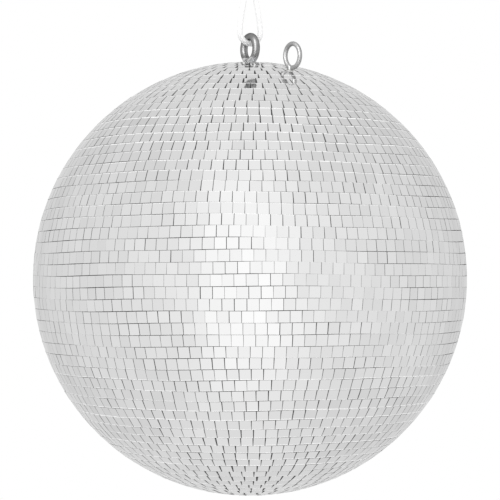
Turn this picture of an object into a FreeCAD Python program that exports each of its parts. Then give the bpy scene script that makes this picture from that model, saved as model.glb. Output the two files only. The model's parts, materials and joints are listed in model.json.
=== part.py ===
import FreeCAD, Part
import math
import os

# A hanging mirror ball: a hollow plastic core covered in rows of mirror tiles, a hanging eye and
# a safety eye through its top, and a looped cord that joins the hanging eye to a swivel.
# Millimetres. +Z is up, and the origin is the centre of the hole in the swivel's lug, by which
# the whole thing hangs. The viewer's side is -Y.

V = FreeCAD.Vector
UP = V(0, 0, 1)
THROUGH = 20.0              # length of a drill that goes right through a wall
HOLE_CLEAR = 0.2            # a drilled hole is this much larger in radius than its bolt

# --- the ball -----------------------------------------------------------------------------------
BALL_R = 200.0              # over the corners of the mirror tiles
TILE = 10.0                 # side of a mirror tile
TILE_JOINT = 0.1            # least gap between two tiles of a row
TILE_THICK = 1.5
ROW_PITCH = math.radians(2.92)      # latitude from one row to the next
FIRST_ROW = math.radians(0.9)       # latitude of the joint next to the equator
ROWS_ABOVE = 29
ROWS_BELOW = 30
ROW_GAP = 0.2               # between two rows
ROWS_PER_NODE = 5
STAGGER = 0.618             # share of a tile by which each row is turned against the one below
CORE_R = 198.0
CORE_THICK = 2.0
GLUE_THICK = 0.2
BOTTOM_MIRROR_R = 10.0
BEHIND_MIRROR = 0.05        # between the glue and the bottom mirror
JOINT_RING_THICK = 2.0
JOINT_RING_HEIGHT = 30.0
INSIDE_GAP = 0.1            # between the core and what lies against its inner side

# --- the hanging eye, an M8 bent eye bolt ---------------------------------------------------------
EYE_WIRE = 7.0
EYE_R = 11.3                # centre line of the eye
EYE_BEND = 4.0              # centre line of the bend between shank and eye
EYE_TURNED = math.radians(-60)      # direction in plan of the plane of the eye
EYE_TIP_GAP = 0.5           # between the tip of a bent eye and its shank
THREAD = 8.0
SEAT_Z = 197.2              # flat on top of the core, above the ball's centre
TOP_PLATE_R, TOP_PLATE_THICK = 13.8, 0.8
PLATE_GAP = 0.2             # between the top plate and the underside of the eye
NUT_FLATS, INNER_NUT_THICK, LOCK_NUT_THICK = 13.0, 8.0, 4.0
NUT_GAP = 0.05              # between the inner nut and its lock nut
SHANK_BELOW = 26.0          # length of shank below the seat
INNER_WASHER_R, INNER_WASHER_THICK = 12.0, 2.0
NUT_CHAMFER = 0.12          # width of a nut's turned corner, as a share of its flats
WASHER_GAP = 0.02           # between a flat washer's rim and the dish it lies in

# --- the steel spreader plate inside the top of the core ------------------------------------------
SPREADER_THICK = 1.2
SPREADER_ANGLE = math.radians(26.5)
RIVETS = 6
RIVET_ANGLE = math.radians(24.5)
RIVET_R, RIVET_HEAD_R, RIVET_HEAD_DEEP = 2.0, 3.6, 1.2
RIVET_TAIL_R, RIVET_TAIL_THICK = 3.4, 1.6
RIVET_TAIL_GAP = 0.15       # between the flat tail and the dished plate

# --- the safety eye, an M5 bent eye bolt ----------------------------------------------------------
SAFETY_ROW = 23             # the row above the equator's joint that it comes through
SAFETY_SIDE = 35.8          # its distance to +X from the ball's axis, at the tiles
SAFETY_WIRE = 4.1
SAFETY_R = 10.7
SAFETY_BEND = 2.6
SAFETY_TURNED = math.radians(-53.5)
SAFETY_THREAD = 5.0
SAFETY_STANDS = 26.0        # top of the eye above the tiles
SAFETY_BUSH_R = 3.5
BUSH_ABOVE_CORE = 0.05
BUSH_PROUD = 0.2            # top of the bush above the tiles
BUSH_HOLE_CLEAR = 0.1       # between the bush and the tile that is drilled for it
SAFETY_SHANK_BELOW = 16.0
SAFETY_WASHER_R, SAFETY_WASHER_THICK = 5.0, 1.0
SAFETY_NUT_FLATS, SAFETY_NUT_THICK = 8.0, 5.0

# --- the cord and its knot ------------------------------------------------------------------------
CORD = 5.5
ARC_SHARE = 0.45            # share of the shorter run that an arc takes up
KNOT_R, KNOT_END_R, KNOT_TALL = 8.6, 6.4, 14.0
KNOT_ABOVE_PIVOT = 56.7     # underside of the knot above the centre of the eye's top wire
KNOT_BELOW_LOOP = 12.0      # top of the knot below the centre of the swivel eye's lowest wire

# --- the swivel -----------------------------------------------------------------------------------
LUG_R, LUG_THICK, LUG_HOLE_R = 10.0, 6.0, 5.0
SWIVEL_EDGE = 0.6           # chamfer on the lug
BARREL_R, BARREL_TOP, BARREL_BOTTOM = 8.5, -8.0, -25.5
SHOULDER_WIDE, SHOULDER_TALL = 3.0, 2.0
CAVITY_R, CAVITY_TOP = 6.1, -16.5
CAP_THICK = 3.5
THRUST_THICK = 1.0
STEM_R, STEM_CLEAR = 2.5, 0.075
STEM_HEAD_R, STEM_HEAD_THICK = 5.5, 3.0
SWIVEL_WIRE, SWIVEL_R = 5.0, 8.0
SWIVEL_NECK_R, SWIVEL_NECK, NECK_EDGE = 3.5, 3.0, 0.3
RUN_GAP = 0.1               # axial play of the stem's head
BELOW_BARREL = 1.0          # from the barrel to the neck of the lower eye
NECK_SHOWS = 1.0            # length of neck between the barrel and the eye's wire

# --- heights of the chain of parts, from the lug's hole down --------------------------------------
SWIVEL_EYE_Z = BARREL_BOTTOM - BELOW_BARREL - NECK_SHOWS - SWIVEL_WIRE / 2 - SWIVEL_R
SWAY_Z = SWIVEL_EYE_Z - SWIVEL_R    # centre of the swivel eye's lowest wire
KNOT_TOP_Z = SWAY_Z - KNOT_BELOW_LOOP
KNOT_BOTTOM_Z = KNOT_TOP_Z - KNOT_TALL
SWING_Z = KNOT_BOTTOM_Z - KNOT_ABOVE_PIVOT      # centre of the hanging eye's top wire
BEND_START = SEAT_Z + TOP_PLATE_THICK + PLATE_GAP
EYE_RISE = math.sqrt(EYE_R**2 + 2 * EYE_BEND * EYE_R)       # from the bend's start to the eye
BALL_Z = SWING_Z - EYE_R - EYE_RISE - BEND_START

INSIDE_R = CORE_R - CORE_THICK - INSIDE_GAP         # what lies against the core's inner side
SPREADER_INNER_R = INSIDE_R - SPREADER_THICK

# The plane of the hanging eye holds ALONG. The cord's lower loop lies across it, in the plane of
# ACROSS, and its upper loop lies in the plane of ALONG again.
ALONG = V(math.cos(EYE_TURNED), math.sin(EYE_TURNED), 0)
ACROSS = V(math.sin(EYE_TURNED), -math.cos(EYE_TURNED), 0)

# Routes of the cord's centre line: distance sideways in the loop's plane, and height above SWING_Z
# for the lower loop or above SWAY_Z for the upper one.
LOWER_ROUTE = [
    (2.95, KNOT_ABOVE_PIVOT), (4.4, 42.7), (7.7, 27.7), (10.3, 13.7), (11.7, -0.8),
    (0.0, -8.5),
    (-11.7, -0.8), (-10.3, 13.7), (-7.7, 27.7), (-4.4, 42.7), (-2.95, KNOT_ABOVE_PIVOT),
]
UPPER_ROUTE = [
    (3.3, -KNOT_BELOW_LOOP), (5.9, -5.0), (6.9, 2.9), (0.0, 6.8), (-6.9, 2.9), (-5.9, -5.0),
    (-3.3, -KNOT_BELOW_LOOP),
]


def save(shape, name):
    """Write one node, and say what it is."""
    good = all(s.isValid() for s in shape.Solids)
    shape.exportStep(f"parts/{name}.step")
    print(f"{name:24s} {len(shape.Solids):3d} solids  {shape.Volume / 1000:9.3f} cm3  valid {good}")


def rod(radius, length, foot, axis=UP):
    return Part.makeCylinder(radius, length, foot, axis)


def ring(outer, inner, thick, foot, axis=UP):
    """A washer whose lower face is centred on foot."""
    return rod(outer, thick, foot, axis).cut(rod(inner, thick + 2, foot - axis, axis))


def turned_rod(radius, length, edge, foot, axis=UP):
    """A round bar with both ends chamfered."""
    middle = rod(radius, length - 2 * edge, foot + axis * edge, axis)
    low = Part.makeCone(radius - edge, radius, edge, foot, axis)
    high = Part.makeCone(radius, radius - edge, edge, foot + axis * (length - edge), axis)
    return middle.fuse([low, high]).removeSplitter()


def hex_nut(flats, thick, hole, foot, axis=UP):
    """A hexagon nut with turned corners, standing on foot."""
    corner = flats / math.sqrt(3)
    points = [V(corner * math.cos(a), corner * math.sin(a), 0)
              for a in (math.radians(60 * k) for k in range(7))]
    body = Part.Face(Part.makePolygon(points)).extrude(UP * thick)
    edge = NUT_CHAMFER * flats
    tall = edge / 2
    turned = rod(corner, thick - 2 * tall, V(0, 0, tall))
    for foot_z, low, high in ((0, corner - edge, corner), (thick - tall, corner, corner - edge)):
        turned = turned.fuse(Part.makeCone(low, high, tall, V(0, 0, foot_z)))
    body = body.common(turned).cut(rod(hole, thick + 2, V(0, 0, -1)))
    return placed(body, foot, axis)


def placed(shape, foot, axis):
    """Turn a shape made along +Z so that it stands on foot along axis."""
    out = shape.copy()
    out.Placement = FreeCAD.Placement(foot, FreeCAD.Rotation(UP, axis)).multiply(out.Placement)
    return out


def sphere_slice(radius, low, high):
    """The part of a ball about the ball's own centre between two heights."""
    slab = rod(radius + 10, high - low, V(0, 0, low))
    return Part.makeSphere(radius).common(slab)


def shell_slice(outer, inner, low, high):
    return sphere_slice(outer, low, high).cut(Part.makeSphere(inner))


def ball_point(latitude, longitude, radius):
    level = radius * math.cos(latitude)
    return V(level * math.cos(longitude), level * math.sin(longitude), radius * math.sin(latitude))


def sweep_circle(wire, radius, start, heading):
    """A round bar along a wire whose runs and arcs are tangent."""
    section = Part.Wire(Part.makeCircle(radius, start, heading))
    return Part.Wire(wire).makePipeShell([section], True, False)


# --- the mirror tiles -----------------------------------------------------------------------------

def tiles_in_row(low):
    """How many whole tiles go round the row's narrower edge."""
    narrow = BALL_R * min(math.cos(low), math.cos(low + ROW_PITCH))
    return math.floor(2 * math.pi * narrow / (TILE + TILE_JOINT))


def tile_row(low, turned):
    """One row of flat tiles, as a faceted ring whose section is square to the tiles."""
    count = tiles_in_row(low)
    half_gap = ROW_GAP / 2 / BALL_R
    middle = low + ROW_PITCH / 2
    edges = (low + half_gap, low + ROW_PITCH - half_gap)
    section = []
    for latitude, depth in ((edges[0], 0), (edges[1], 0), (edges[1], TILE_THICK), (edges[0], TILE_THICK)):
        section.append((BALL_R * math.cos(latitude) - depth * math.cos(middle),
                        BALL_R * math.sin(latitude) - depth * math.sin(middle)))
    faces = []
    for (r0, z0), (r1, z1) in zip(section, section[1:] + section[:1]):
        for k in range(count):
            a, b = (turned + 2 * math.pi * i / count for i in (k, k + 1))
            corners = [V(r * math.cos(c), r * math.sin(c), z)
                       for r, z, c in ((r0, z0, a), (r0, z0, b), (r1, z1, b), (r1, z1, a))]
            faces.append(Part.Face(Part.makePolygon(corners + corners[:1])))
    shell = Part.Shell(faces)
    shell.sewShape()
    return Part.Solid(shell)


SAFETY_LATITUDE = FIRST_ROW + (SAFETY_ROW + 0.5) * ROW_PITCH
SAFETY_LONGITUDE = -math.acos(SAFETY_SIDE / (BALL_R * math.cos(SAFETY_LATITUDE)))
SAFETY_AXIS = ball_point(SAFETY_LATITUDE, SAFETY_LONGITUDE, 1.0)


def safety_drill(radius):
    """A drill on the safety eye's axis, through the core's wall and what lies on either side."""
    return rod(radius, THROUGH, SAFETY_AXIS * (CORE_R - THROUGH / 2), SAFETY_AXIS)


def all_rows():
    """Every row, from the south up: its number from the equator's joint, and its solid."""
    rows = []
    for number in range(-ROWS_BELOW, ROWS_ABOVE):
        low = FIRST_ROW + number * ROW_PITCH
        one_tile = 2 * math.pi / tiles_in_row(low)
        turned = one_tile * (STAGGER * number)
        if number == SAFETY_ROW:
            turned = SAFETY_LONGITUDE - one_tile / 2
        row = tile_row(low, turned)
        if number == SAFETY_ROW:
            row = row.cut(safety_drill(SAFETY_BUSH_R + BUSH_HOLE_CLEAR))
        rows.append((number, row))
    return rows


def save_tiles():
    rows = all_rows()
    for side, chosen in (("lower", [r for n, r in reversed(rows) if n < 0]),
                         ("upper", [r for n, r in rows if n >= 0])):
        for first in range(0, len(chosen), ROWS_PER_NODE):
            group = Part.makeCompound(chosen[first:first + ROWS_PER_NODE])
            save(in_ball(group), f"mirror_rows_{side}_{first // ROWS_PER_NODE + 1}")
    foot = V(0, 0, -(CORE_R + GLUE_THICK + BEHIND_MIRROR + TILE_THICK))
    save(in_ball(rod(BOTTOM_MIRROR_R, TILE_THICK, foot)), "bottom_mirror_disc")


# --- the core -------------------------------------------------------------------------------------

def in_ball(shape):
    """Move a shape made about the ball's centre to where the ball hangs."""
    out = shape.copy()
    out.translate(V(0, 0, BALL_Z))
    return out


def rivet_axes():
    first = SAFETY_LONGITUDE + math.pi / RIVETS
    latitude = math.pi / 2 - RIVET_ANGLE
    return [ball_point(latitude, first + 2 * math.pi * k / RIVETS, 1.0) for k in range(RIVETS)]


def rivet_head(axis):
    foot = axis * (CORE_R - RIVET_HEAD_DEEP)
    return Part.makeCone(RIVET_R, RIVET_HEAD_R, RIVET_HEAD_DEEP, foot, axis)


def rivet_hole(axis):
    shank = rod(RIVET_R, THROUGH, axis * (CORE_R - THROUGH / 2), axis)
    above = rod(RIVET_HEAD_R, THROUGH, axis * CORE_R, axis)
    return shank.fuse([rivet_head(axis), above])


def rivet(axis):
    tail_top = SPREADER_INNER_R - RIVET_TAIL_GAP
    shank = rod(RIVET_R, CORE_R - RIVET_HEAD_DEEP - tail_top, axis * tail_top, axis)
    tail = rod(RIVET_TAIL_R, RIVET_TAIL_THICK, axis * (tail_top - RIVET_TAIL_THICK), axis)
    body = rivet_head(axis).fuse([shank, tail])
    return body.common(Part.makeSphere(CORE_R))


def hanging_drill():
    return rod(THREAD / 2 + HOLE_CLEAR, THROUGH, V(0, 0, SEAT_Z - THROUGH / 2))


def save_core():
    upper = shell_slice(CORE_R, CORE_R - CORE_THICK, 0, SEAT_Z)
    upper = upper.cut(hanging_drill())
    upper = upper.cut(safety_drill(SAFETY_THREAD / 2 + HOLE_CLEAR))
    for axis in rivet_axes():
        upper = upper.cut(rivet_hole(axis))
    save(in_ball(upper), "core_upper_shell")
    save(in_ball(shell_slice(CORE_R, CORE_R - CORE_THICK, -CORE_R, 0)), "core_lower_shell")

    half = JOINT_RING_HEIGHT / 2
    joint = shell_slice(INSIDE_R, INSIDE_R - JOINT_RING_THICK, -half, half)
    save(in_ball(joint), "core_joint_ring")

    glue_r = CORE_R + GLUE_THICK
    glue = shell_slice(glue_r, CORE_R, 0, SEAT_Z - GLUE_THICK)
    glue = glue.cut(safety_drill(SAFETY_BUSH_R + BUSH_HOLE_CLEAR))
    save(in_ball(glue), "tile_glue_upper")
    save(in_ball(shell_slice(glue_r, CORE_R, -glue_r, 0)), "tile_glue_lower")


# --- the eyes and what holds them -----------------------------------------------------------------

def bent_eye(wire, radius, bend, thread, shank, turned_to):
    """A bent eye bolt. Its bend starts at the origin, the shank goes down and the eye stands up in
    the plane of Z and turned_to, with its tip brought round to the shank."""
    rise = math.sqrt(radius**2 + 2 * bend * radius)
    meet = bend / (bend + radius)

    def at(side, height):
        return turned_to * side + UP * height

    def on_eye(angle):
        return at(radius * math.cos(angle), rise + radius * math.sin(angle))

    bend_out = (math.atan2(rise, -bend) + math.pi) / 2
    on_bend = at(bend + bend * math.cos(bend_out), bend * math.sin(bend_out))
    join = at(bend - bend * meet, rise * meet)
    join_angle = math.atan2(rise * meet - rise, bend - bend * meet)
    tip_angle = join_angle - (wire + EYE_TIP_GAP) / radius
    first, last = join_angle, tip_angle + 2 * math.pi
    quarters = [first + (last - first) * k / 4 for k in range(1, 4)]
    path = [
        Part.LineSegment(at(0, -1), at(0, 0)).toShape(),
        Part.Arc(at(0, 0), on_bend, join).toShape(),
        Part.Arc(join, on_eye(quarters[0]), on_eye(quarters[1])).toShape(),
        Part.Arc(on_eye(quarters[1]), on_eye(quarters[2]), on_eye(last)).toShape(),
    ]
    eye = sweep_circle(path, wire / 2, at(0, -1), UP)
    screw = rod(thread / 2, shank - 1, at(0, -shank)).fuse(
        Part.makeCone(thread / 2 - 1, thread / 2, 1, at(0, -shank - 1)))
    return eye.fuse(screw).removeSplitter()


def washer_top(radius):
    """Distance from the ball's centre of a flat washer whose rim meets the dished plate."""
    return math.sqrt(SPREADER_INNER_R**2 - radius**2) - WASHER_GAP


def save_hanging_eye():
    shank = SHANK_BELOW + BEND_START - SEAT_Z
    eye = bent_eye(EYE_WIRE, EYE_R, EYE_BEND, THREAD, shank, ALONG)
    eye.translate(V(0, 0, BEND_START))
    save(in_ball(eye), "hanging_eye")

    seat = V(0, 0, SEAT_Z)
    save(in_ball(ring(TOP_PLATE_R, THREAD / 2 + HOLE_CLEAR, TOP_PLATE_THICK, seat)), "top_plate")

    foot = UP * (washer_top(INNER_WASHER_R) - INNER_WASHER_THICK)
    washer = ring(INNER_WASHER_R, THREAD / 2 + HOLE_CLEAR, INNER_WASHER_THICK, foot)
    save(in_ball(washer), "inner_eye_washer")
    foot = foot - UP * INNER_NUT_THICK
    save(in_ball(hex_nut(NUT_FLATS, INNER_NUT_THICK, THREAD / 2, foot)), "inner_eye_nut")
    foot = foot - UP * (NUT_GAP + LOCK_NUT_THICK)
    save(in_ball(hex_nut(NUT_FLATS, LOCK_NUT_THICK, THREAD / 2, foot)), "eye_lock_nut")


def save_spreader():
    dish = shell_slice(INSIDE_R, SPREADER_INNER_R, INSIDE_R * math.cos(SPREADER_ANGLE), INSIDE_R)
    dish = dish.cut(hanging_drill())
    dish = dish.cut(safety_drill(SAFETY_THREAD / 2 + HOLE_CLEAR))
    for axis in rivet_axes():
        dish = dish.cut(rod(RIVET_R, THROUGH, axis * (CORE_R - THROUGH / 2), axis))
    save(in_ball(dish), "spreader_plate")
    save(in_ball(Part.makeCompound([rivet(axis) for axis in rivet_axes()])), "spreader_rivets")


def save_safety_eye():
    surface = SAFETY_AXIS * BALL_R
    flat_way = V(math.cos(SAFETY_TURNED), math.sin(SAFETY_TURNED), 0)
    rise = math.sqrt(SAFETY_R**2 + 2 * SAFETY_BEND * SAFETY_R)
    bend_start = SAFETY_STANDS - SAFETY_WIRE / 2 - SAFETY_R - rise
    shank = SAFETY_SHANK_BELOW + bend_start
    # the eye starts on the shank's far side, so its tip closes on the side of flat_way
    eye = bent_eye(SAFETY_WIRE, SAFETY_R, SAFETY_BEND, SAFETY_THREAD, shank, -flat_way)
    save(in_ball(placed(eye, surface + SAFETY_AXIS * bend_start, SAFETY_AXIS)), "safety_eye")

    bush_low = CORE_R + BUSH_ABOVE_CORE
    bush_tall = BALL_R + BUSH_PROUD - bush_low
    bush = ring(SAFETY_BUSH_R, SAFETY_THREAD / 2, bush_tall, SAFETY_AXIS * bush_low, SAFETY_AXIS)
    save(in_ball(bush), "safety_eye_bush")

    foot = SAFETY_AXIS * (washer_top(SAFETY_WASHER_R) - SAFETY_WASHER_THICK)
    washer_hole = SAFETY_THREAD / 2 + HOLE_CLEAR
    washer = ring(SAFETY_WASHER_R, washer_hole, SAFETY_WASHER_THICK, foot, SAFETY_AXIS)
    save(in_ball(washer), "safety_eye_washer")
    foot = foot - SAFETY_AXIS * SAFETY_NUT_THICK
    nut = hex_nut(SAFETY_NUT_FLATS, SAFETY_NUT_THICK, SAFETY_THREAD / 2, foot, SAFETY_AXIS)
    save(in_ball(nut), "safety_eye_nut")


# --- the cord -------------------------------------------------------------------------------------

def cord_tube(name, route, way, level):
    """A tube along straight runs joined by arcs, each as large as its two runs allow."""
    points = [way * side + V(0, 0, level + height) for side, height in route]
    edges, last, radii = [], points[0], []
    for before, corner, after in zip(points, points[1:], points[2:]):
        into, out = (corner - before), (after - corner)
        shorter = min(into.Length, out.Length)
        into.normalize()
        out.normalize()
        turn = into.getAngle(out)
        back = ARC_SHARE * shorter
        radius = back / math.tan(turn / 2)
        radii.append(round(radius, 1))
        start, end = corner - into * back, corner + out * back
        toward = out - into
        toward.normalize()
        middle = corner + toward * (radius / math.cos(turn / 2) - radius)
        edges += [Part.LineSegment(last, start).toShape(), Part.Arc(start, middle, end).toShape()]
        last = end
    edges.append(Part.LineSegment(last, points[-1]).toShape())
    tube = sweep_circle(edges, CORD / 2, points[0], points[1] - points[0])
    length = sum(e.Length for e in edges)
    expected = math.pi * CORD**2 / 4 * length
    print(f"{name}: radii {radii}, length {length:.1f}, volume {tube.Volume / expected:.4f} of section x length")
    save(tube, name)


def save_cord():
    cord_tube("cord_lower_loop", LOWER_ROUTE, ACROSS, SWING_Z)
    cord_tube("cord_upper_loop", UPPER_ROUTE, ALONG, SWAY_Z)
    side = Part.Arc(V(KNOT_END_R, 0, KNOT_BOTTOM_Z), V(KNOT_R, 0, KNOT_BOTTOM_Z + KNOT_TALL / 2),
                    V(KNOT_END_R, 0, KNOT_TOP_Z)).toShape()
    low, high = V(0, 0, KNOT_BOTTOM_Z), V(0, 0, KNOT_TOP_Z)
    outline = Part.Wire([
        Part.makeLine(low, V(KNOT_END_R, 0, KNOT_BOTTOM_Z)), side,
        Part.makeLine(V(KNOT_END_R, 0, KNOT_TOP_Z), high), Part.makeLine(high, low),
    ])
    save(Part.Face(outline).revolve(V(), UP, 360), "cord_knot")


# --- the swivel -----------------------------------------------------------------------------------

def save_swivel():
    lug = turned_rod(LUG_R, LUG_THICK, SWIVEL_EDGE, V(0, -LUG_THICK / 2, 0), V(0, 1, 0))
    foot = V(0, 0, BARREL_TOP - SHOULDER_TALL)
    barrel = rod(BARREL_R, foot.z - BARREL_BOTTOM, V(0, 0, BARREL_BOTTOM))
    shoulder = Part.makeCone(BARREL_R, BARREL_R - SHOULDER_WIDE, SHOULDER_TALL, foot)
    housing = lug.fuse([barrel, shoulder])
    housing = housing.cut(rod(LUG_HOLE_R, LUG_THICK + 2, V(0, -LUG_THICK / 2 - 1, 0), V(0, 1, 0)))
    housing = housing.cut(rod(CAVITY_R, CAVITY_TOP - BARREL_BOTTOM + 1, V(0, 0, BARREL_BOTTOM - 1)))
    save(housing.removeSplitter(), "swivel_housing")

    bore = STEM_R + STEM_CLEAR
    cap_top = BARREL_BOTTOM + CAP_THICK
    save(ring(CAVITY_R, bore, CAP_THICK, V(0, 0, BARREL_BOTTOM)), "swivel_end_cap")
    save(ring(CAVITY_R - 0.3, bore, THRUST_THICK, V(0, 0, cap_top)), "swivel_thrust_washer")

    head_foot = cap_top + THRUST_THICK + RUN_GAP
    eye_top = SWIVEL_EYE_Z + SWIVEL_R
    eye = Part.makeTorus(SWIVEL_R, SWIVEL_WIRE / 2, V(0, 0, SWIVEL_EYE_Z), ALONG)
    stem = rod(STEM_R, head_foot - eye_top, V(0, 0, eye_top))
    neck_foot = BARREL_BOTTOM - BELOW_BARREL - SWIVEL_NECK
    neck = turned_rod(SWIVEL_NECK_R, SWIVEL_NECK, NECK_EDGE, V(0, 0, neck_foot))
    head = rod(STEM_HEAD_R, STEM_HEAD_THICK, V(0, 0, head_foot))
    save(eye.fuse([stem, neck, head]).removeSplitter(), "swivel_lower_eye")


os.makedirs("parts", exist_ok=True)
print(f"ball centre {BALL_Z:.2f}, swing {SWING_Z:.2f}, sway {SWAY_Z:.2f}")
print(f"across {ACROSS}, along {ALONG}, safety axis {SAFETY_AXIS}")
save_swivel()
save_cord()
save_hanging_eye()
save_spreader()
save_safety_eye()
save_core()
save_tiles()
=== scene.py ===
import json
import math
import random

import bpy
from mathutils import Matrix, Vector


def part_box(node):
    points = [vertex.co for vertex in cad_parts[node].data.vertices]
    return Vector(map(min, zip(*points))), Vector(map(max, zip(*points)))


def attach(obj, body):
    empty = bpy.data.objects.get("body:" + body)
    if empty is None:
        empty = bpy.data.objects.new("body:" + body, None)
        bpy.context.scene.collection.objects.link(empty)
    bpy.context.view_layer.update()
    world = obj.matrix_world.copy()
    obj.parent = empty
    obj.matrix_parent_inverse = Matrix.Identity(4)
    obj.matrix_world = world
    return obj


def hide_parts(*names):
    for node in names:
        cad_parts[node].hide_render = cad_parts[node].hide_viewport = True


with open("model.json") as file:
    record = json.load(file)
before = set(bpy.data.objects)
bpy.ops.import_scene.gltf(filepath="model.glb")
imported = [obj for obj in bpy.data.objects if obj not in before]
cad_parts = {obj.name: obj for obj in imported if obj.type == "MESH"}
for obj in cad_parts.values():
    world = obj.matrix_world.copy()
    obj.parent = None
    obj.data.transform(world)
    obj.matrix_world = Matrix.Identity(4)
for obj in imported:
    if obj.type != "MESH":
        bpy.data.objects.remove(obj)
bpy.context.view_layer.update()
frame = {"nodes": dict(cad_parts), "record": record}

# A mirror ball on its eye, looped cord and swivel. Metres, in the row frame: +Z up, the viewer
# at -Y, the origin at the centre of the hole in the swivel's lug.

MM = 0.001
UP = Vector((0, 0, 1))

# --- places that the model gives ------------------------------------------------------------------
BALL = Vector((0, 0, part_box("core_lower_shell")[1].z))          # centre of the ball
SWING_AT = Vector(frame["record"]["behaviour"]["joints"][2]["pos_m"])
SWAY_AT = Vector(frame["record"]["behaviour"]["joints"][1]["pos_m"])
KNOT_LOW, KNOT_HIGH = (corner.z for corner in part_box("cord_knot"))

# --- the ball's tiles, as the rows are laid out in the model --------------------------------------
BALL_R = 200.0 * MM
TILE = 10.0 * MM
TILE_THICK = 1.5 * MM
TILE_JOINT = 0.1 * MM
ROW_PITCH = math.radians(2.92)
FIRST_ROW = math.radians(0.9)
ROWS_ABOVE, ROWS_BELOW, ROWS_PER_NODE = 29, 30, 5
SAFETY_ROW, SAFETY_SIDE = 23, 35.8 * MM
BUSH_HOLE_R = 3.6 * MM
TILE_SEED = 4

# --- the cord -------------------------------------------------------------------------------------
CORD = 5.5 * MM
EYE_TURNED = math.radians(-60)
ALONG = Vector((math.cos(EYE_TURNED), math.sin(EYE_TURNED), 0))
ACROSS = Vector((math.sin(EYE_TURNED), -math.cos(EYE_TURNED), 0))
KNOT_ABOVE_PIVOT = 56.7
KNOT_BELOW_LOOP = 12.0
LOWER_ROUTE = [
    (2.95, KNOT_ABOVE_PIVOT), (4.4, 42.7), (7.7, 27.7), (10.3, 13.7), (11.7, -0.8),
    (0.0, -8.5),
    (-11.7, -0.8), (-10.3, 13.7), (-7.7, 27.7), (-4.4, 42.7), (-2.95, KNOT_ABOVE_PIVOT),
]
UPPER_ROUTE = [
    (3.3, -KNOT_BELOW_LOOP), (5.9, -5.0), (6.9, 2.9), (0.0, 6.8), (-6.9, 2.9), (-5.9, -5.0),
    (-3.3, -KNOT_BELOW_LOOP),
]


# === small helpers ================================================================================

def link(obj):
    bpy.context.scene.collection.objects.link(obj)
    return obj


def mesh_object(name, verts, faces, materials, indices=None, smooth=True):
    mesh = bpy.data.meshes.new(name)
    mesh.from_pydata(verts, [], faces)
    for material in materials:
        mesh.materials.append(material)
    if indices is not None:
        mesh.polygons.foreach_set("material_index", indices)
    mesh.polygons.foreach_set("use_smooth", [smooth] * len(mesh.polygons))
    mesh.update()
    return link(bpy.data.objects.new(name, mesh))


def add_light(name, place, target, wide, tall, power, mirrored=False):
    """A soft box, which either brightens matt surfaces or is mirrored in glossy ones."""
    lamp = bpy.data.lights.new(name, "AREA")
    lamp.shape = "RECTANGLE"
    lamp.size, lamp.size_y = wide, tall
    lamp.energy = power
    obj = link(bpy.data.objects.new(name, lamp))
    obj.location = place
    obj.rotation_euler = (Vector(target) - Vector(place)).to_track_quat("-Z", "Y").to_euler()
    obj.visible_glossy = mirrored
    obj.visible_diffuse = not mirrored
    return obj


# === camera =======================================================================================

CAMERA_AWAY = 1.900
CAMERA_ABOVE = 3.1 * MM
CAMERA_PITCH = math.radians(0.6987)
CAMERA_LENS, CAMERA_SENSOR = 147.6, 36.0        # both in millimetres, as cameras have them


def make_camera():
    data = bpy.data.cameras.new("camera")
    data.lens = CAMERA_LENS
    data.sensor_width = CAMERA_SENSOR
    camera = link(bpy.data.objects.new("camera", data))
    camera.location = BALL + Vector((0, -CAMERA_AWAY, CAMERA_ABOVE))
    camera.rotation_euler = (math.pi / 2 + CAMERA_PITCH, 0, 0)
    bpy.context.scene.camera = camera


make_camera()


# === materials ====================================================================================

# Painted reflection: the hanging eye's foot is painted pale below EYE_FOOT, standing in for the bright
# tiles and lamp light it mirrors.
FOOT_PAINTED_REFLECTION = (0.9, 0.9, 0.9, 1.0)
FOOT_PAINTED_REFLECTION_FADE = 0.8 * MM
EYE_FOOT = BALL.z + 205.0 * MM      # just under the lowest point of the hanging eye's hole
EDGE_ON_STEEL = (0.25, 0.25, 0.25, 1.0)


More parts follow.
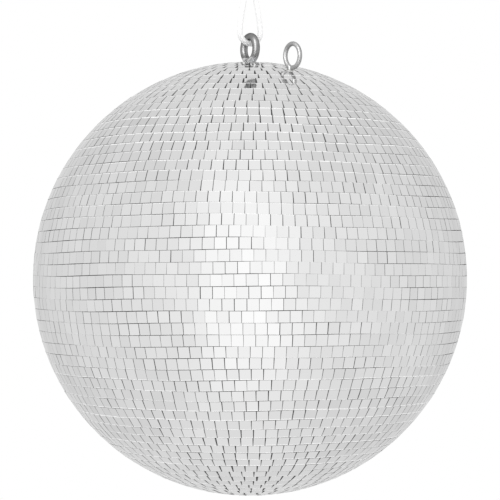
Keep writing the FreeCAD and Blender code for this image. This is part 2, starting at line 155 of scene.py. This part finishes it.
class Nodes:
    """Short forms for building one material's node tree."""

    def __init__(self, name):
        self.material = bpy.data.materials.new(name)
        self.material.use_nodes = True
        self.tree = self.material.node_tree
        self.shader = self.tree.nodes["Principled BSDF"]
        self.place = self.add("ShaderNodeTexCoord").outputs["Object"]

    def add(self, kind, **settings):
        node = self.tree.nodes.new(kind)
        for key, value in settings.items():
            setattr(node, key, value)
        return node

    def link(self, out, into):
        self.tree.links.new(out, into)

    def set(self, **values):
        """Constant values on the shader's own sockets; an underscore stands for a space."""
        for key, value in values.items():
            self.shader.inputs[key.replace("_", " ")].default_value = value

    def noise(self, scale, detail=4.0, roughness=0.55, stretch=(1, 1, 1)):
        mapping = self.add("ShaderNodeMapping")
        mapping.inputs["Scale"].default_value = stretch
        self.link(self.place, mapping.inputs["Vector"])
        noise = self.add("ShaderNodeTexNoise")
        noise.inputs["Scale"].default_value = scale
        noise.inputs["Detail"].default_value = detail
        noise.inputs["Roughness"].default_value = roughness
        self.link(mapping.outputs["Vector"], noise.inputs["Vector"])
        return noise.outputs["Fac"]

    def ramp(self, value, *stops):
        ramp = self.add("ShaderNodeValToRGB")
        band = ramp.color_ramp
        while len(band.elements) < len(stops):
            band.elements.new(0.5)
        for element, (at, colour) in zip(band.elements, stops):
            element.position = at
            grey = isinstance(colour, float)
            element.color = (colour,) * 3 + (1,) if grey else tuple(colour) + (1,)
        self.link(value, ramp.inputs["Fac"])
        return ramp.outputs["Color"]

    def span(self, value, low, high, start=0.0, end=1.0):
        """value, from start to end, spread from low to high."""
        node = self.add("ShaderNodeMapRange")
        node.inputs["From Min"].default_value = start
        node.inputs["From Max"].default_value = end
        node.inputs["To Min"].default_value = low
        node.inputs["To Max"].default_value = high
        self.link(value, node.inputs["Value"])
        return node.outputs["Result"]

    def mix(self, factor, a, b, blend="MIX"):
        node = self.add("ShaderNodeMix", data_type="RGBA", blend_type=blend)
        for socket, value in ((node.inputs[0], factor), (node.inputs[6], a), (node.inputs[7], b)):
            if isinstance(value, bpy.types.NodeSocket):
                self.link(value, socket)
            else:
                socket.default_value = value
        return node.outputs[2]

    def bump(self, height, strength, distance):
        node = self.add("ShaderNodeBump")
        node.inputs["Strength"].default_value = strength
        node.inputs["Distance"].default_value = distance
        self.link(height, node.inputs["Height"])
        self.link(node.outputs["Normal"], self.shader.inputs["Normal"])

    def colour(self, out):
        self.link(out, self.shader.inputs["Base Color"])

    def rough(self, out):
        self.link(out, self.shader.inputs["Roughness"])


def mirror_glass():
    """The silvered face of a tile: neutral, a little uneven from tile to tile, lightly smeared."""
    n = Nodes("mirror_glass")
    n.set(Metallic=1.0)
    shade = n.add("ShaderNodeAttribute", attribute_name="tile_shade").outputs["Fac"]
    smear = n.noise(60.0, 3.0)
    grey = n.ramp(shade, (0.0, 0.875), (1.0, 0.95))
    n.colour(n.mix(0.06, grey, n.ramp(smear, (0.3, 0.75), (0.7, 1.0)), "MULTIPLY"))
    n.rough(n.span(smear, 0.02, 0.06))
    n.bump(n.noise(140.0, 1.0), 0.04, 0.0004)
    return n.material


def cut_edge(name, dark, light):
    """The scored and snapped edge of a glass tile, glossy, with fine chips."""
    n = Nodes(name)
    n.set(IOR=1.52)
    chips = n.noise(1500.0, 3.0)
    n.colour(n.ramp(chips, (0.3, dark), (0.6, light)))
    n.rough(n.span(chips, 0.15, 0.45))
    n.bump(chips, 0.35, 0.0002)
    return n.material


def tile_glue():
    """Dull grey adhesive, with grit and lighter dust."""
    n = Nodes("tile_glue")
    n.set(Specular_IOR_Level=0.2)
    lumps = n.noise(420.0, 5.0)
    n.colour(n.ramp(lumps, (0.3, (0.13, 0.13, 0.132)), (0.7, (0.26, 0.26, 0.262))))
    n.rough(n.span(lumps, 0.7, 0.95))
    n.bump(lumps, 0.6, 0.0006)
    return n.material


def steel(name, dark, light, rough_low, rough_high, painted_reflection_below=None):
    """Plated drawn wire, duller where it is seen edge on, with fine draw marks and stains. Below a
    height
    it may be painted pale: a painted reflection of the bright tiles and lamp light that its foot
    mirrors."""
    n = Nodes(name)
    n.set(Metallic=1.0, Specular_Tint=EDGE_ON_STEEL)
    marks = n.noise(900.0, 5.0, 0.6, (1, 1, 0.15))
    stains = n.noise(120.0, 3.0)
    plating_and_painted_reflection = n.ramp(stains, (0.35, dark), (0.6, light))
    if painted_reflection_below is not None:
        height = n.add("ShaderNodeSeparateXYZ")
        n.link(n.place, height.inputs[0])
        # Painted reflection: paler below the foot height, standing in for what the foot mirrors.
        painted_reflection_mask = n.span(height.outputs["Z"], 1.0, 0.0, painted_reflection_below - FOOT_PAINTED_REFLECTION_FADE, painted_reflection_below)
        plating_and_painted_reflection = n.mix(painted_reflection_mask, plating_and_painted_reflection, FOOT_PAINTED_REFLECTION)
    n.colour(n.mix(0.25, plating_and_painted_reflection, n.ramp(marks, (0.3, 0.6), (0.6, 1.0)), "MULTIPLY"))
    n.rough(n.span(marks, rough_low, rough_high))
    n.bump(marks, 0.12, 0.0002)
    return n.material


def plain_metal(name, tint, dark, rough_low, rough_high):
    n = Nodes(name)
    n.set(Metallic=1.0)
    grain = n.noise(700.0, 5.0, 0.6, (1, 1, 0.2))
    blotch = n.noise(90.0, 4.0)
    n.colour(n.mix(0.4, n.ramp(blotch, (0.3, dark), (0.65, tint)),
                   n.ramp(grain, (0.3, 0.72), (0.65, 1.0)), "MULTIPLY"))
    n.rough(n.span(grain, rough_low, rough_high))
    n.bump(grain, 0.15, 0.0003)
    return n.material


def plastic(name, dark, light, scale, rough_low, rough_high):
    n = Nodes(name)
    grain = n.noise(scale, 4.0)
    patches = n.noise(25.0, 3.0)
    n.colour(n.mix(0.3, n.ramp(grain, (0.3, dark), (0.7, light)),
                   n.ramp(patches, (0.35, 0.8), (0.65, 1.0)), "MULTIPLY"))
    n.rough(n.span(grain, rough_low, rough_high))
    n.bump(grain, 0.25, 0.0003)
    return n.material


def floor_paint():
    """Near white studio floor with faint scuffs, as bright as if it had lamps of its own."""
    n = Nodes("floor_paint")
    n.set(Emission_Color=(1.0, 1.0, 1.0, 1.0), Emission_Strength=0.12)
    scuffs = n.noise(6.0, 4.0)
    n.colour(n.ramp(scuffs, (0.3, 0.93), (0.7, 0.96)))
    n.rough(n.span(scuffs, 0.55, 0.7))
    n.bump(n.noise(180.0, 3.0), 0.1, 0.0005)
    return n.material


def cord_yarn():
    """White polyester yarn: fine filaments along the strand, faintly soiled."""
    n = Nodes("cord_yarn")
    n.set(Specular_IOR_Level=0.3, Sheen_Weight=0.35, Sheen_Roughness=0.4)
    filaments = n.noise(4200.0, 3.0, 0.6, (1, 1, 0.35))
    soil = n.noise(110.0, 3.0)
    n.colour(n.mix(0.5, n.ramp(filaments, (0.3, 0.85), (0.6, 0.95)),
                   n.ramp(soil, (0.3, 0.94), (0.6, 1.0)), "MULTIPLY"))
    n.rough(n.span(filaments, 0.55, 0.8))
    n.bump(filaments, 0.3, 0.0001)
    return n.material


MIRROR = mirror_glass()
# Painted highlight: a bright copy of the cut edge, laid on the mirror face as the edge's glow.
GLASS_PAINTED_GLOW = cut_edge("cut_glass_painted_glow", 0.78, 0.94)
DULL_GLASS = cut_edge("cut_glass_dull", 0.14, 0.3)
GLUE = tile_glue()
YARN = cord_yarn()
# below EYE_FOOT this steel is painted pale, a painted reflection
BRIGHT_STEEL = steel("bright_steel", 0.27, 0.38, 0.32, 0.44, EYE_FOOT)
PALE_STEEL = steel("pale_steel", 0.45, 0.57, 0.44, 0.56)
ZINC_STEEL = plain_metal("zinc_steel", (0.78, 0.79, 0.8), (0.6, 0.61, 0.63), 0.22, 0.42)
SWIVEL_STEEL = steel("swivel_steel", 0.34, 0.46, 0.14, 0.26)
BRASS = plain_metal("thrust_brass", (0.83, 0.66, 0.36), (0.62, 0.46, 0.22), 0.2, 0.4)
ALUMINIUM = plain_metal("rivet_aluminium", (0.84, 0.84, 0.85), (0.7, 0.7, 0.71), 0.25, 0.45)
CORE_PLASTIC = plastic("core_plastic", (0.05, 0.05, 0.053), (0.09, 0.09, 0.094), 300.0, 0.4, 0.6)
BUSH_PLASTIC = plastic("bush_plastic", (0.62, 0.62, 0.6), (0.75, 0.75, 0.73), 600.0, 0.35, 0.55)
FLOOR_PAINT = floor_paint()

NODE_MATERIALS = {
    "hanging_eye": BRIGHT_STEEL,
    "safety_eye": PALE_STEEL,
    "top_plate": ZINC_STEEL, "eye_lock_nut": ZINC_STEEL,
    "inner_eye_washer": ZINC_STEEL, "inner_eye_nut": ZINC_STEEL,
    "safety_eye_washer": ZINC_STEEL, "safety_eye_nut": ZINC_STEEL,
    "spreader_plate": ZINC_STEEL,
    "spreader_rivets": ALUMINIUM,
    "safety_eye_bush": BUSH_PLASTIC,
    "core_upper_shell": CORE_PLASTIC, "core_lower_shell": CORE_PLASTIC, "core_joint_ring": CORE_PLASTIC,
    "tile_glue_upper": GLUE, "tile_glue_lower": GLUE,
    "bottom_mirror_disc": MIRROR,
    "swivel_housing": SWIVEL_STEEL, "swivel_end_cap": SWIVEL_STEEL, "swivel_lower_eye": SWIVEL_STEEL,
    "swivel_thrust_washer": BRASS,
}


def paint_model_nodes():
    for name, material in NODE_MATERIALS.items():
        mesh = frame["nodes"][name].data
        mesh.materials.clear()
        mesh.materials.append(material)


paint_model_nodes()


# === the cord =====================================================================================

BRAID_STRANDS = 8               # each way round
BRAID_LAY = 17.0 * MM           # length of cord in which a strand goes once round
BRAID_STEP = 0.55 * MM          # between two sections of a strand, along the cord
BRAID_LIFT = 0.26 * MM          # how far a strand rises and dips as it goes over and under
YARN_R = 0.62 * MM
YARN_FLAT = 0.62                # thickness of a strand as a share of its width
YARN_SIDES = 8
CORE_SHARE = 0.40               # radius of the core as a share of the cord's diameter
KNOT_TURNS = 2.65
KNOT_START = 0.6                # longitude at which the wraps start
KNOT_POINTS = 21                # on the helix that the wraps follow
KNOT_WRAP_R = 6.2 * MM
KNOT_CORD = 4.7 * MM            # the cord is squeezed where it is knotted
KNOT_SWELL = 0.3 * MM           # and its braid bulges by this much
TUCK_IN = 0.25                  # the ends turn in to this share of the wraps' radius
TUCK_DEPTH = 1.5 * MM           # and this far in from the first and last wrap


def route_points(route, way, level):
    return [way * (side * MM) + Vector((0, 0, level + height * MM)) for side, height in route]


def route_curve(name, points, bevel):
    data = bpy.data.curves.new(name, "CURVE")
    data.dimensions = "3D"
    data.resolution_u = 24
    data.bevel_depth = bevel
    data.bevel_resolution = 5
    data.use_fill_caps = True
    spline = data.splines.new("NURBS")
    spline.points.add(len(points) - 1)
    for target, point in zip(spline.points, points):
        target.co = (*point, 1)
    spline.order_u = 3
    spline.use_endpoint_u = True
    return link(bpy.data.objects.new(name, data))


def smooth_line(points):
    """Points read, in order, from the smooth line that the points of a route steer."""
    curve = route_curve("route", points, 0.0)
    bpy.context.view_layer.update()
    mesh = bpy.data.meshes.new_from_object(curve)
    line = [v.co.copy() for v in mesh.vertices]
    bpy.data.meshes.remove(mesh)
    bpy.data.objects.remove(curve)
    return line


def even_line(line, step):
    """The same line in even steps, as points and distances."""
    total = sum((b - a).length for a, b in zip(line, line[1:]))
    count = max(2, round(total / step))
    out, gone, target = [line[0].copy()], 0.0, total / count
    for a, b in zip(line, line[1:]):
        run = (b - a).length
        while run > 0 and gone + run >= target - 1e-9 and len(out) <= count:
            out.append(a.lerp(b, min(1.0, (target - gone) / run)))
            target += total / count
        gone += run
    return out, total / (len(out) - 1)


def travelling_frames(line):
    """A direction along the line and two square to it at each point, without twist."""
    tangents = [(line[min(i + 1, len(line) - 1)] - line[max(i - 1, 0)]).normalized()
                for i in range(len(line))]
    side = tangents[0].orthogonal().normalized()
    frames = []
    for before, tangent in zip([tangents[0]] + tangents, tangents):
        side = before.rotation_difference(tangent) @ side
        side = (side - tangent * side.dot(tangent)).normalized()
        frames.append((tangent, side, tangent.cross(side)))
    return frames


def sweep(verts, faces, line, frames, half_wide, half_deep, sides):
    """Add a closed tube whose oval section lies along each frame's second and third directions."""
    first = len(verts)
    for point, (_, a, b) in zip(line, frames):
        for k in range(sides):
            turn = 2 * math.pi * k / sides
            verts.append(point + a * (half_wide * math.cos(turn)) + b * (half_deep * math.sin(turn)))
    rings = len(line)
    for i in range(rings - 1):
        for k in range(sides):
            at, beside = first + i * sides + k, first + i * sides + (k + 1) % sides
            faces.append((at, beside, beside + sides, at + sides))
    faces.append(tuple(first + k for k in reversed(range(sides))))
    faces.append(tuple(first + (rings - 1) * sides + k for k in range(sides)))


def braid(name, line, diameter):
    """The sheath of a braided cord: strands both ways round, each over two and under two."""
    points, step = even_line(line, BRAID_STEP)
    frames = travelling_frames(points)
    middle = diameter / 2 - YARN_R * YARN_FLAT - BRAID_LIFT
    verts, faces = [], []
    for way in (1, -1):
        for k in range(BRAID_STRANDS):
            strand, strand_frames = [], []
            for i, (point, (tangent, a, b)) in enumerate(zip(points, frames)):
                along = 2 * math.pi * i * step / BRAID_LAY
                turn = way * along + 2 * math.pi * k / BRAID_STRANDS
                out = a * math.cos(turn) + b * math.sin(turn)
                over = math.sin(BRAID_STRANDS * along + (k if way > 0 else k + 1) * math.pi)
                strand.append(point + out * (middle + BRAID_LIFT * over))
                around = tangent.cross(out) * way
                ahead = (tangent + around * (2 * math.pi * middle / BRAID_LAY)).normalized()
                strand_frames.append((ahead, out.cross(ahead).normalized(), out))
            sweep(verts, faces, strand, strand_frames, YARN_R, YARN_R * YARN_FLAT, YARN_SIDES)
    return mesh_object(name, verts, faces, [YARN])


def finish_cord_piece(piece):
    """White in a white room, the cord doesn't show in the tiles."""
    piece.visible_glossy = False
    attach(piece, "cord")


def make_loop(name, node, route, way, level):
    points = route_points(route, way, level)
    core = route_curve(f"{name}_core", points, CORE_SHARE * CORD)
    core.data.materials.append(YARN)
    sheath = braid(f"{name}_sheath", smooth_line(points), CORD)
    for piece in (core, sheath):
        finish_cord_piece(piece)
    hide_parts(node)


def make_knot():
    """Wraps round the strands, whose two ends tuck in to the middle."""
    low = KNOT_LOW + KNOT_CORD / 2
    rise = KNOT_HIGH - KNOT_LOW - KNOT_CORD
    wraps = []
    for i in range(KNOT_POINTS):
        share = i / (KNOT_POINTS - 1)
        turn = 2 * math.pi * KNOT_TURNS * share + KNOT_START
        wraps.append(Vector((KNOT_WRAP_R * math.cos(turn), KNOT_WRAP_R * math.sin(turn),
                             low + rise * share)))
    first, last = wraps[0], wraps[-1]
    start = Vector((first.x * TUCK_IN, first.y * TUCK_IN, first.z + TUCK_DEPTH))
    end = Vector((last.x * TUCK_IN, last.y * TUCK_IN, last.z - TUCK_DEPTH))
    line = smooth_line([start, *wraps, end])
    knot = braid("cord_knot_wraps", line, KNOT_CORD + KNOT_SWELL)
    finish_cord_piece(knot)
    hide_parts("cord_knot")
    return knot


knot = make_knot()
make_loop("cord_lower", "cord_lower_loop", LOWER_ROUTE, ACROSS, SWING_AT.z)
make_loop("cord_upper", "cord_upper_loop", UPPER_ROUTE, ALONG, SWAY_AT.z)


# === the mirror tiles =============================================================================

ARRIS = 0.05 * MM               # width of the broken edge round the mirror, at the equator
ARRIS_MORE = 0.18 * MM          # and how much more of it shows at the sides of a tile that slopes
GLASS_IOR = 1.5
EDGE_GLOW = 1.6 * MM            # how much of the cut edge's glow, seen through the glass, is painted on the mirror as a bright strip, by slope
TILE_WIDE = (9.80 * MM, 10.0 * MM)      # least and most
TILE_TALL = (9.86 * MM, 10.02 * MM)
SQUARE_OUT = 0.05 * MM          # how far a corner may be out of square
PROUD = 0.06 * MM               # how far a tile may stand proud of the ball, or below it
ARRIS_SPREAD = (0.5, 1.5)       # least and most share of an arris, from tile to tile
TILE_GLOW_SPREAD = (0.8, 1.2)   # of the painted glow strip, from tile to tile
ROW_GLOW_SPREAD = (0.4, 1.2)    # and from row to row
JOINT_SPREAD = (0.1, 1.0)       # the joints of a row share its slack by the squares of these
TILT = math.radians(0.35)       # of one tile
ROW_TILT = math.radians(0.3)    # of a whole row
TURN = math.radians(0.15)
ROW_WAVE = 0.11 * MM            # how far a row wanders from its neighbours
COMMON_WAVES = ((0.95 * MM, 3, 0.8), (0.35 * MM, 8, 1.4))   # size, turns round the ball, twist
STAGGER_STEP = 0.12             # of a tile, from row to row
STAGGER_WANDER = 0.2            # of a tile, to and fro over the rows
STAGGER_TURN = 1.9              # radians of the wander from row to row
DRILLED_SIDES = 32
FRONT = -math.pi / 2            # longitude that faces the viewer
SAFETY_LATITUDE = FIRST_ROW + (SAFETY_ROW + 0.5) * ROW_PITCH
SAFETY_LONGITUDE = -math.acos(SAFETY_SIDE / (BALL_R * math.cos(SAFETY_LATITUDE)))
SAFETY_AXIS = Vector((math.cos(SAFETY_LATITUDE) * math.cos(SAFETY_LONGITUDE),
                      math.cos(SAFETY_LATITUDE) * math.sin(SAFETY_LONGITUDE),
                      math.sin(SAFETY_LATITUDE)))
MIRROR_FACE, PAINTED_GLOW_STRIP, DULL_SIDE = range(3)


def tiles_in_row(low):
    narrow = BALL_R * min(math.cos(low), math.cos(low + ROW_PITCH))
    return math.floor(2 * math.pi * narrow / (TILE + TILE_JOINT))


def stagger(number):
    """By what share of a tile a row's joints stand to one side of the front."""
    return STAGGER_STEP * number + STAGGER_WANDER * math.sin(STAGGER_TURN * number)


def drift(latitude, longitude):
    """How far the rows were laid from their parallels at a place, and at what slope."""
    away, slope = 0.0, 0.0
    for size, turns, twist in COMMON_WAVES:
        phase = turns * longitude + twist * turns * latitude
        away += size * math.cos(latitude) * math.sin(phase)
        slope += size / BALL_R * turns * math.cos(phase)
    return away, slope


def tile_matrix(latitude, longitude, row_tilt, rng):
    """Where a tile's face is: X to the east, Y to the north and Z outward, a little out of true."""
    away, slope = drift(latitude, longitude)
    latitude += away / BALL_R
    out = Vector((math.cos(latitude) * math.cos(longitude), math.cos(latitude) * math.sin(longitude),
                  math.sin(latitude)))
    east = Vector((-math.sin(longitude), math.cos(longitude), 0))
    place = Matrix((east, out.cross(east), out)).transposed().to_4x4()
    place.translation = BALL + out * (math.sqrt(BALL_R**2 - TILE**2 / 2) + rng.uniform(-PROUD, PROUD))
    lean = Matrix.Rotation(row_tilt + rng.gauss(0, TILT), 4, "X")
    lean = lean @ Matrix.Rotation(rng.gauss(0, TILT), 4, "Y")
    return place @ lean @ Matrix.Rotation(slope + rng.gauss(0, TURN), 4, "Z")


def painted_glow_width(latitude):
    """A sloping tile shows the inside of its pole-side edge through the glass; that glow is painted as
    a bright strip on the pole side of the mirror face, a painted highlight.
    """
    bent = math.asin(math.sin(abs(latitude)) / GLASS_IOR)
    return EDGE_GLOW * math.tan(bent)


class TileMesh:
    """Tiles gathered into one mesh. A tile is closed: back, four sides, arris and mirror."""

    def __init__(self):
        self.verts, self.faces, self.finishes, self.shades = [], [], [], []

    def add_face(self, corners, finish, shade):
        self.faces.append(tuple(corners))
        self.finishes.append(finish)
        self.shades.append(shade)

    def add_loops(self, place, loops, finishes, shade):
        """Walls between each loop of points and the next, and after the last loop the first again.
        There are as many walls as finishes."""
        first, sides = len(self.verts), len(loops[0])
        for loop in loops:
            self.verts += [place @ point for point in loop]
        for level, finish in enumerate(finishes):
            low, high = first + level * sides, first + (level + 1) % len(loops) * sides
            for k in range(sides):
                beside = (k + 1) % sides
                self.add_face((low + k, low + beside, high + beside, high + k), finish, shade)
        return first

    def add_tile(self, place, wide, tall, painted_glow, rng):
        """Its loops run south-west, south-east, east, north-east, north-west and west: the east and
        west points part the mirror from the painted glow strip, a painted highlight in bright cut
        glass."""
        slope = (place.translation - BALL).normalized().z
        pole_side = math.copysign(1, slope)
        parting = pole_side * (tall / 2 - painted_glow * rng.uniform(*TILE_GLOW_SPREAD))
        corners = [Vector((sx * wide / 2 + rng.uniform(-1, 1) * SQUARE_OUT,
                           sy * tall / 2 + rng.uniform(-1, 1) * SQUARE_OUT, 0))
                   for sx, sy in ((-1, -1), (1, -1), (1, 1), (-1, 1))]
        arris = ARRIS * rng.uniform(*ARRIS_SPREAD)
        side = arris + ARRIS_MORE * abs(slope) * rng.uniform(*ARRIS_SPREAD)
        face = [c - Vector((math.copysign(side, c.x), math.copysign(arris, c.y), 0)) for c in corners]
        loops = []
        for outline, sunk in ((corners, TILE_THICK), (corners, arris), (face, 0)):
            share = 0.5 + parting / tall
            east, west = outline[1].lerp(outline[2], share), outline[0].lerp(outline[3], share)
            loops.append([point - UP * sunk for point in (*outline[:2], east, *outline[2:], west)])
        shade = rng.random()
        first = self.add_loops(place, loops, (DULL_SIDE, DULL_SIDE), shade)
        self.add_face(range(first + 5, first - 1, -1), DULL_SIDE, shade)
        south_west, south_east, east, north_east, north_west, west = range(first + 12, first + 18)
        # the pole-side part of the face takes the painted highlight
        finishes = (MIRROR_FACE, PAINTED_GLOW_STRIP) if pole_side > 0 else (PAINTED_GLOW_STRIP, MIRROR_FACE)
        self.add_face((south_west, south_east, east, west), finishes[0], shade)
        self.add_face((west, east, north_east, north_west), finishes[1], shade)

    def add_drilled_tile(self, place, wide, tall, rng):
        """The tile that the safety eye's bush comes through."""
        drill = place.inverted() @ (BALL + SAFETY_AXIS * BALL_R)
        edge, mirror, hole = [], [], []
        for k in range(DRILLED_SIDES):
            turn = 2 * math.pi * k / DRILLED_SIDES
            c, s = math.cos(turn), math.sin(turn)
            reach = 1 / max(abs(c) / (wide / 2), abs(s) / (tall / 2))
            edge.append(Vector((c * reach, s * reach, 0)))
            mirror.append(Vector((c * (reach - ARRIS), s * (reach - ARRIS), 0)))
            hole.append(Vector((drill.x + c * BUSH_HOLE_R, drill.y + s * BUSH_HOLE_R, 0)))
        back = UP * TILE_THICK
        loops = [[p - back for p in hole], [p - back for p in edge], [p - UP * ARRIS for p in edge],
                 mirror, hole]
        finishes = (DULL_SIDE, DULL_SIDE, DULL_SIDE, MIRROR_FACE, DULL_SIDE)
        self.add_loops(place, loops, finishes, rng.random())

    def object(self, name):
        obj = mesh_object(name, self.verts, self.faces, [MIRROR, GLASS_PAINTED_GLOW, DULL_GLASS],
                          self.finishes, smooth=False)
        shade = obj.data.attributes.new("tile_shade", "FLOAT", "FACE")
        shade.data.foreach_set("value", self.shades)
        return obj


def lay_row(tiles, number, rng):
    """One row of tiles, with the slack of its narrower edge shared unevenly between the joints."""
    low = FIRST_ROW + number * ROW_PITCH
    middle = low + ROW_PITCH / 2
    count = tiles_in_row(low)
    round_row = 2 * math.pi * BALL_R * min(math.cos(low), math.cos(low + ROW_PITCH))
    widths = [rng.uniform(*TILE_WIDE) for _ in range(count)]
    weights = [rng.uniform(*JOINT_SPREAD)**2 for _ in range(count)]
    slack = round_row - sum(widths)
    cells = [(wide + slack * weight / sum(weights)) / round_row * 2 * math.pi
             for wide, weight in zip(widths, weights)]
    start = FRONT + 2 * math.pi / count * stagger(number)
    if number == SAFETY_ROW:
        start = SAFETY_LONGITUDE - cells[0] / 2
    row_tilt = rng.gauss(0, ROW_TILT)
    painted_glow = painted_glow_width(middle) * rng.uniform(*ROW_GLOW_SPREAD)
    waves = [(turns, rng.uniform(0, 2 * math.pi)) for turns in (2, 5)]
    for k, (wide, cell) in enumerate(zip(widths, cells)):
        longitude = start + cell / 2
        start += cell
        wander = sum(math.sin(turns * longitude + phase) / turns for turns, phase in waves)
        place = tile_matrix(middle + ROW_WAVE * wander / BALL_R, longitude, row_tilt, rng)
        tall = rng.uniform(*TILE_TALL)
        if number == SAFETY_ROW and k == 0:
            tiles.add_drilled_tile(place, wide, tall, rng)
        else:
            tiles.add_tile(place, wide, tall, painted_glow, rng)


def make_tiles():
    rng = random.Random(TILE_SEED)
    for side, numbers in (("lower", range(-1, -ROWS_BELOW - 1, -1)), ("upper", range(ROWS_ABOVE))):
        for first in range(0, len(numbers), ROWS_PER_NODE):
            group = first // ROWS_PER_NODE + 1
            tiles = TileMesh()
            for number in numbers[first:first + ROWS_PER_NODE]:
                lay_row(tiles, number, rng)
            obj = tiles.object(f"tiles_{side}_{group}")
            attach(obj, "ball")
            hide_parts(f"mirror_rows_{side}_{group}")


make_tiles()


# === light and floor ==============================================================================

FLOOR_R = 7.0
FLOOR_Z = -1.75
FLOOR_SIDES = 96
SOFT_BOX = 1.6
SOFT_BOXES = (("key", (-1.4, -2.2, 0.9), 30), ("fill", (1.8, -1.6, 0.2), 14),
              ("back", (0.6, 2.2, 1.0), 12))        # name, place, watts
STRIP_AT = (-1.1, -2.3, 0.7)
STRIP_WIDE, STRIP_TALL, STRIP_WATTS = 1.8, 4.2, 75
STEEL_NODES = ("hanging_eye", "safety_eye", "swivel_housing", "swivel_end_cap", "swivel_lower_eye")


def make_floor():
    turns = [2 * math.pi * k / FLOOR_SIDES for k in range(FLOOR_SIDES)]
    verts = [(FLOOR_R * math.cos(turn), FLOOR_R * math.sin(turn), FLOOR_Z) for turn in turns]
    floor = mesh_object("floor", verts, [tuple(range(FLOOR_SIDES))], [FLOOR_PAINT])
    floor.visible_glossy = False


# Radiance of the surroundings: a bright wall on the viewer's side, paler walls to the left and right
# with dimmer gaps beside them, and a dimmer room behind. SIDE goes by how far a direction points to
# the viewer's left (0) or right (1). OVER goes by the angle over the top, from straight down and
# back (0) by the viewer's side (0.5) to up and back (1), in shares of OVER_MOST, and counts less
# towards either side.
OVER_MOST = 1.5
SIDE_WALL, GAP, FRONT_WALL = 0.77, 0.69, 0.74
VIEWER_SIDE, OVERHEAD, BEHIND = 0.94, 0.73, 0.65
SIDE_STOPS = ((0.0, SIDE_WALL), (0.25, GAP), (0.35, FRONT_WALL), (0.55, FRONT_WALL), (0.75, GAP),
              (1.0, SIDE_WALL))
OVER_STOPS = ((0.12, BEHIND), (0.25, OVERHEAD), (0.45, VIEWER_SIDE), (0.55, VIEWER_SIDE),
              (0.75, OVERHEAD), (0.88, BEHIND))


def make_world():
    world = bpy.data.worlds.new("studio")
    bpy.context.scene.world = world
    world.use_nodes = True
    tree = world.node_tree
    tree.nodes.clear()

    def add(kind, **settings):
        node = tree.nodes.new(kind)
        for key, value in settings.items():
            setattr(node, key, value)
        return node

    def math_node(operation, *values):
        node = add("ShaderNodeMath", operation=operation)
        for socket, value in zip(node.inputs, values):
            if isinstance(value, bpy.types.NodeSocket):
                tree.links.new(value, socket)
            else:
                socket.default_value = value
        return node.outputs["Value"]

    def ramp(value, stops):
        node = add("ShaderNodeValToRGB")
        band = node.color_ramp
        band.interpolation = "EASE"
        while len(band.elements) < len(stops):
            band.elements.new(0.5)
        for element, (at, grey) in zip(band.elements, stops):
            element.position = at
            element.color = (grey, grey, grey, 1)
        tree.links.new(value, node.inputs["Fac"])
        return node.outputs["Color"]

    split = add("ShaderNodeSeparateXYZ")
    tree.links.new(add("ShaderNodeTexCoord").outputs["Generated"], split.inputs[0])
    x, y, z = (split.outputs[k] for k in range(3))
    sideways = math_node("MULTIPLY_ADD", x, 0.5, 0.5)
    angle = math_node("ARCTAN2", z, math_node("MULTIPLY", y, -1.0))
    over = math_node("MULTIPLY_ADD", angle, 0.5 / math.pi, 0.5)
    toward_middle = math_node("SUBTRACT", 1.0, math_node("MULTIPLY", x, x))
    over_glow = math_node("MULTIPLY", ramp(over, OVER_STOPS), OVER_MOST)
    product = math_node("MULTIPLY", ramp(sideways, SIDE_STOPS),
                        math_node("POWER", over_glow, toward_middle))
    seen_direct = add("ShaderNodeLightPath").outputs["Is Camera Ray"]
    lit = add("ShaderNodeBackground")
    tree.links.new(product, lit.inputs["Strength"])
    paper = add("ShaderNodeBackground")
    paper.inputs["Strength"].default_value = 1.0
    for background in (lit, paper):
        background.inputs["Color"].default_value = (1, 1, 1, 1)
    choose = add("ShaderNodeMixShader")
    tree.links.new(seen_direct, choose.inputs[0])
    tree.links.new(lit.outputs[0], choose.inputs[1])
    tree.links.new(paper.outputs[0], choose.inputs[2])
    tree.links.new(choose.outputs[0], add("ShaderNodeOutputWorld").inputs["Surface"])


def make_lights():
    """Three soft boxes for what is matt, and a tall strip that only the steel mirrors."""
    for name, place, watts in SOFT_BOXES:
        add_light(name, place, BALL, SOFT_BOX, SOFT_BOX, watts)
    strip = add_light("strip", STRIP_AT, SWING_AT, STRIP_WIDE, STRIP_TALL, STRIP_WATTS, mirrored=True)
    steel_pieces = bpy.data.collections.new("steel_pieces")
    for name in STEEL_NODES:
        steel_pieces.objects.link(frame["nodes"][name])
    strip.light_linking.receiver_collection = steel_pieces


make_floor()
make_world()
make_lights()
bpy.context.scene.view_settings.view_transform = "Standard"
